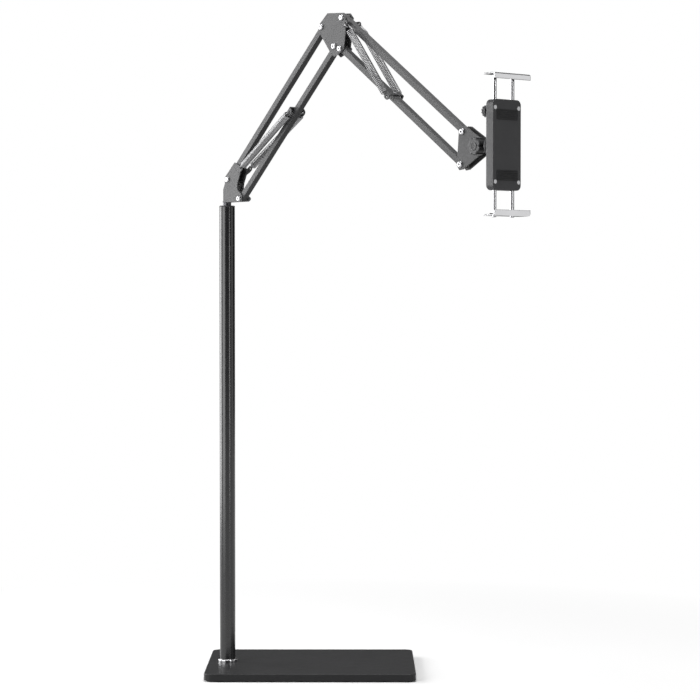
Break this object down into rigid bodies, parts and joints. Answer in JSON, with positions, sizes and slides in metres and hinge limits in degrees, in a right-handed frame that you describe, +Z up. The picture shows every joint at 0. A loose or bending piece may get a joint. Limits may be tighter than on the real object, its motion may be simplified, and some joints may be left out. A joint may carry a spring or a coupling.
{
  "type": "tablet floor stand",
  "caption": "Floor stand with a heavy rectangular base, a round pole, a swivelling sprung double arm, and a tilting, turning holder with sliding jaws for a tablet.",
  "frame": {"origin": "centre of the underside of the base mat, where the stand rests on the floor", "axes": "+X along the base plate's long side away from the pole, +Y to the back, +Z up"},
  "size_m": [0.4611, 0.6391, 0.9907],
  "materials": {
    "base_paint": "satin black powder coat",
    "pole_paint": "smooth black enamel",
    "arm_paint": "satin dark grey enamel",
    "chrome": "polished",
    "screw_steel": "zinc plated",
    "pin_steel": "black oxide",
    "spring_steel": "bright drawn wire",
    "knuckle_alloy": "black anodised",
    "black_plastic": "fine moulded texture",
    "nylon": "natural nylon",
    "rubber": "soft matt rubber"
  },
  "bodies": {
    "stand": {"base_plate": "base_paint", "base_mat": "rubber", "pole_screw": "screw_steel", "pole_screw_washer": "screw_steel", "foot_ring": "chrome", "pole_tube": "pole_paint", "pole_foot_plug": "screw_steel", "pole_top_bush": "black_plastic"},
    "turret": {"swivel_pin": "pin_steel", "lower_bracket": "arm_paint", "lower_pivot_bolts": "screw_steel", "lower_pivot_nuts": "pin_steel"},
    "lower_link_top": {"lower_arm_top_bar": "arm_paint", "lower_top_bar_bushes": "nylon"},
    "lower_link_bottom": {"lower_arm_bottom_bar": "arm_paint", "lower_bottom_bar_bushes": "nylon", "lower_spring_clip": "arm_paint", "lower_clip_screw": "screw_steel", "lower_spring_near": "spring_steel", "lower_spring_far": "spring_steel"},
    "elbow": {"elbow_plate_near": "arm_paint", "elbow_plate_far": "arm_paint", "elbow_bolts": "screw_steel", "elbow_nuts": "pin_steel"},
    "upper_link_top": {"upper_arm_top_bar": "arm_paint", "upper_top_bar_bushes": "nylon"},
    "upper_link_bottom": {"upper_arm_bottom_bar": "arm_paint", "upper_bottom_bar_bushes": "nylon", "upper_spring_clip": "arm_paint", "upper_clip_screw": "screw_steel", "upper_spring_near": "spring_steel", "upper_spring_far": "spring_steel"},
    "head": {"head_plate_near": "arm_paint", "head_plate_far": "arm_paint", "head_bolts": "screw_steel", "head_nuts": "pin_steel", "tilt_bolt": "screw_steel"},
    "tilt_handle": {"tilt_knob": "black_plastic"},
    "knuckle": {"tilt_knuckle": "knuckle_alloy", "holder_stud": "screw_steel", "holder_nut": "screw_steel", "holder_washers": "screw_steel"},
    "holder": {"holder_housing": "black_plastic", "holder_cover": "black_plastic", "holder_cover_screws": "screw_steel", "holder_pads": "rubber"},
    "top_clamp": {"upper_jaw": "chrome", "upper_jaw_liner": "rubber", "upper_jaw_rods": "chrome", "upper_jaw_screws": "screw_steel"},
    "bottom_clamp": {"lower_jaw": "chrome", "lower_jaw_liner": "rubber", "lower_jaw_rods": "chrome", "lower_jaw_screws": "screw_steel"},
    "top_lock": {"upper_lock_screw": "black_plastic"},
    "bottom_lock": {"lower_lock_screw": "black_plastic"}
  },
  "joints": [
    {"name": "arm_swivel", "type": "hinge", "parent": "stand", "child": "turret", "pos_m": [-0.13, 0, 0.725], "axis": [0, 0, 1], "continuous": true},
    {"name": "lower_arm_lift", "type": "hinge", "parent": "turret", "child": "lower_link_bottom", "pos_m": [-0.10451, -0.03147, 0.7295], "axis": [-0.7771, -0.6293, 0], "range_deg": [-30, 40], "deforming": ["lower_spring_near", "lower_spring_far"]},
    {"name": "lower_link_follow", "type": "hinge", "parent": "turret", "child": "lower_link_top", "pos_m": [-0.12339, -0.00816, 0.76], "axis": [-0.7771, -0.6293, 0], "range_deg": [-30, 40]},
    {"name": "elbow_level", "type": "hinge", "parent": "lower_link_bottom", "child": "elbow", "pos_m": [0.04281, -0.2134, 0.94176], "axis": [-0.7771, -0.6293, 0], "range_deg": [-40, 30]},
    {"name": "upper_arm_lift", "type": "hinge", "parent": "elbow", "child": "upper_link_bottom", "pos_m": [0.05124, -0.22381, 0.93726], "axis": [-0.7771, -0.6293, 0], "range_deg": [-36, 58], "deforming": ["upper_spring_near", "upper_spring_far"]},
    {"name": "upper_link_follow", "type": "hinge", "parent": "elbow", "child": "upper_link_top", "pos_m": [0.05376, -0.22692, 0.98126], "axis": [-0.7771, -0.6293, 0], "range_deg": [-36, 58]},
    {"name": "head_level", "type": "hinge", "parent": "upper_link_bottom", "child": "head", "pos_m": [0.21533, -0.42644, 0.75873], "axis": [-0.7771, -0.6293, 0], "range_deg": [-58, 36]},
    {"name": "head_tilt", "type": "hinge", "parent": "head", "child": "knuckle", "pos_m": [0.2405, -0.45753, 0.78073], "axis": [-0.7771, -0.6293, 0], "range_deg": [-45, 45]},
    {"name": "holder_turn", "type": "hinge", "parent": "knuckle", "child": "holder", "pos_m": [0.25277, -0.47268, 0.78073], "axis": [0.6293, -0.7771, 0], "continuous": true},
    {"name": "tilt_knob_turn", "type": "hinge", "parent": "head", "child": "tilt_handle", "pos_m": [0.23522, -0.46181, 0.78073], "axis": [-0.7771, -0.6293, 0], "range_deg": [0, 180]},
    {"name": "top_jaw_slide", "type": "slide", "parent": "holder", "child": "top_clamp", "axis": [0, 0, 1], "range_m": [-0.028, 0.008]},
    {"name": "bottom_jaw_slide", "type": "slide", "parent": "holder", "child": "bottom_clamp", "axis": [0, 0, -1], "range_m": [-0.028, 0.008]},
    {"name": "top_lock_turn", "type": "hinge", "parent": "holder", "child": "top_lock", "pos_m": [0.24726, -0.4913, 0.82573], "axis": [0.6293, -0.7771, 0], "range_deg": [0, 180]},
    {"name": "bottom_lock_turn", "type": "hinge", "parent": "holder", "child": "bottom_lock", "pos_m": [0.27213, -0.47116, 0.73573], "axis": [0.6293, -0.7771, 0], "range_deg": [0, 180]}
  ],
  "couplings": [
    {"joint": "lower_link_follow", "follows": "lower_arm_lift", "ratio": 1},
    {"joint": "elbow_level", "follows": "lower_arm_lift", "ratio": -1},
    {"joint": "upper_link_follow", "follows": "upper_arm_lift", "ratio": 1},
    {"joint": "head_level", "follows": "upper_arm_lift", "ratio": -1}
  ]
}
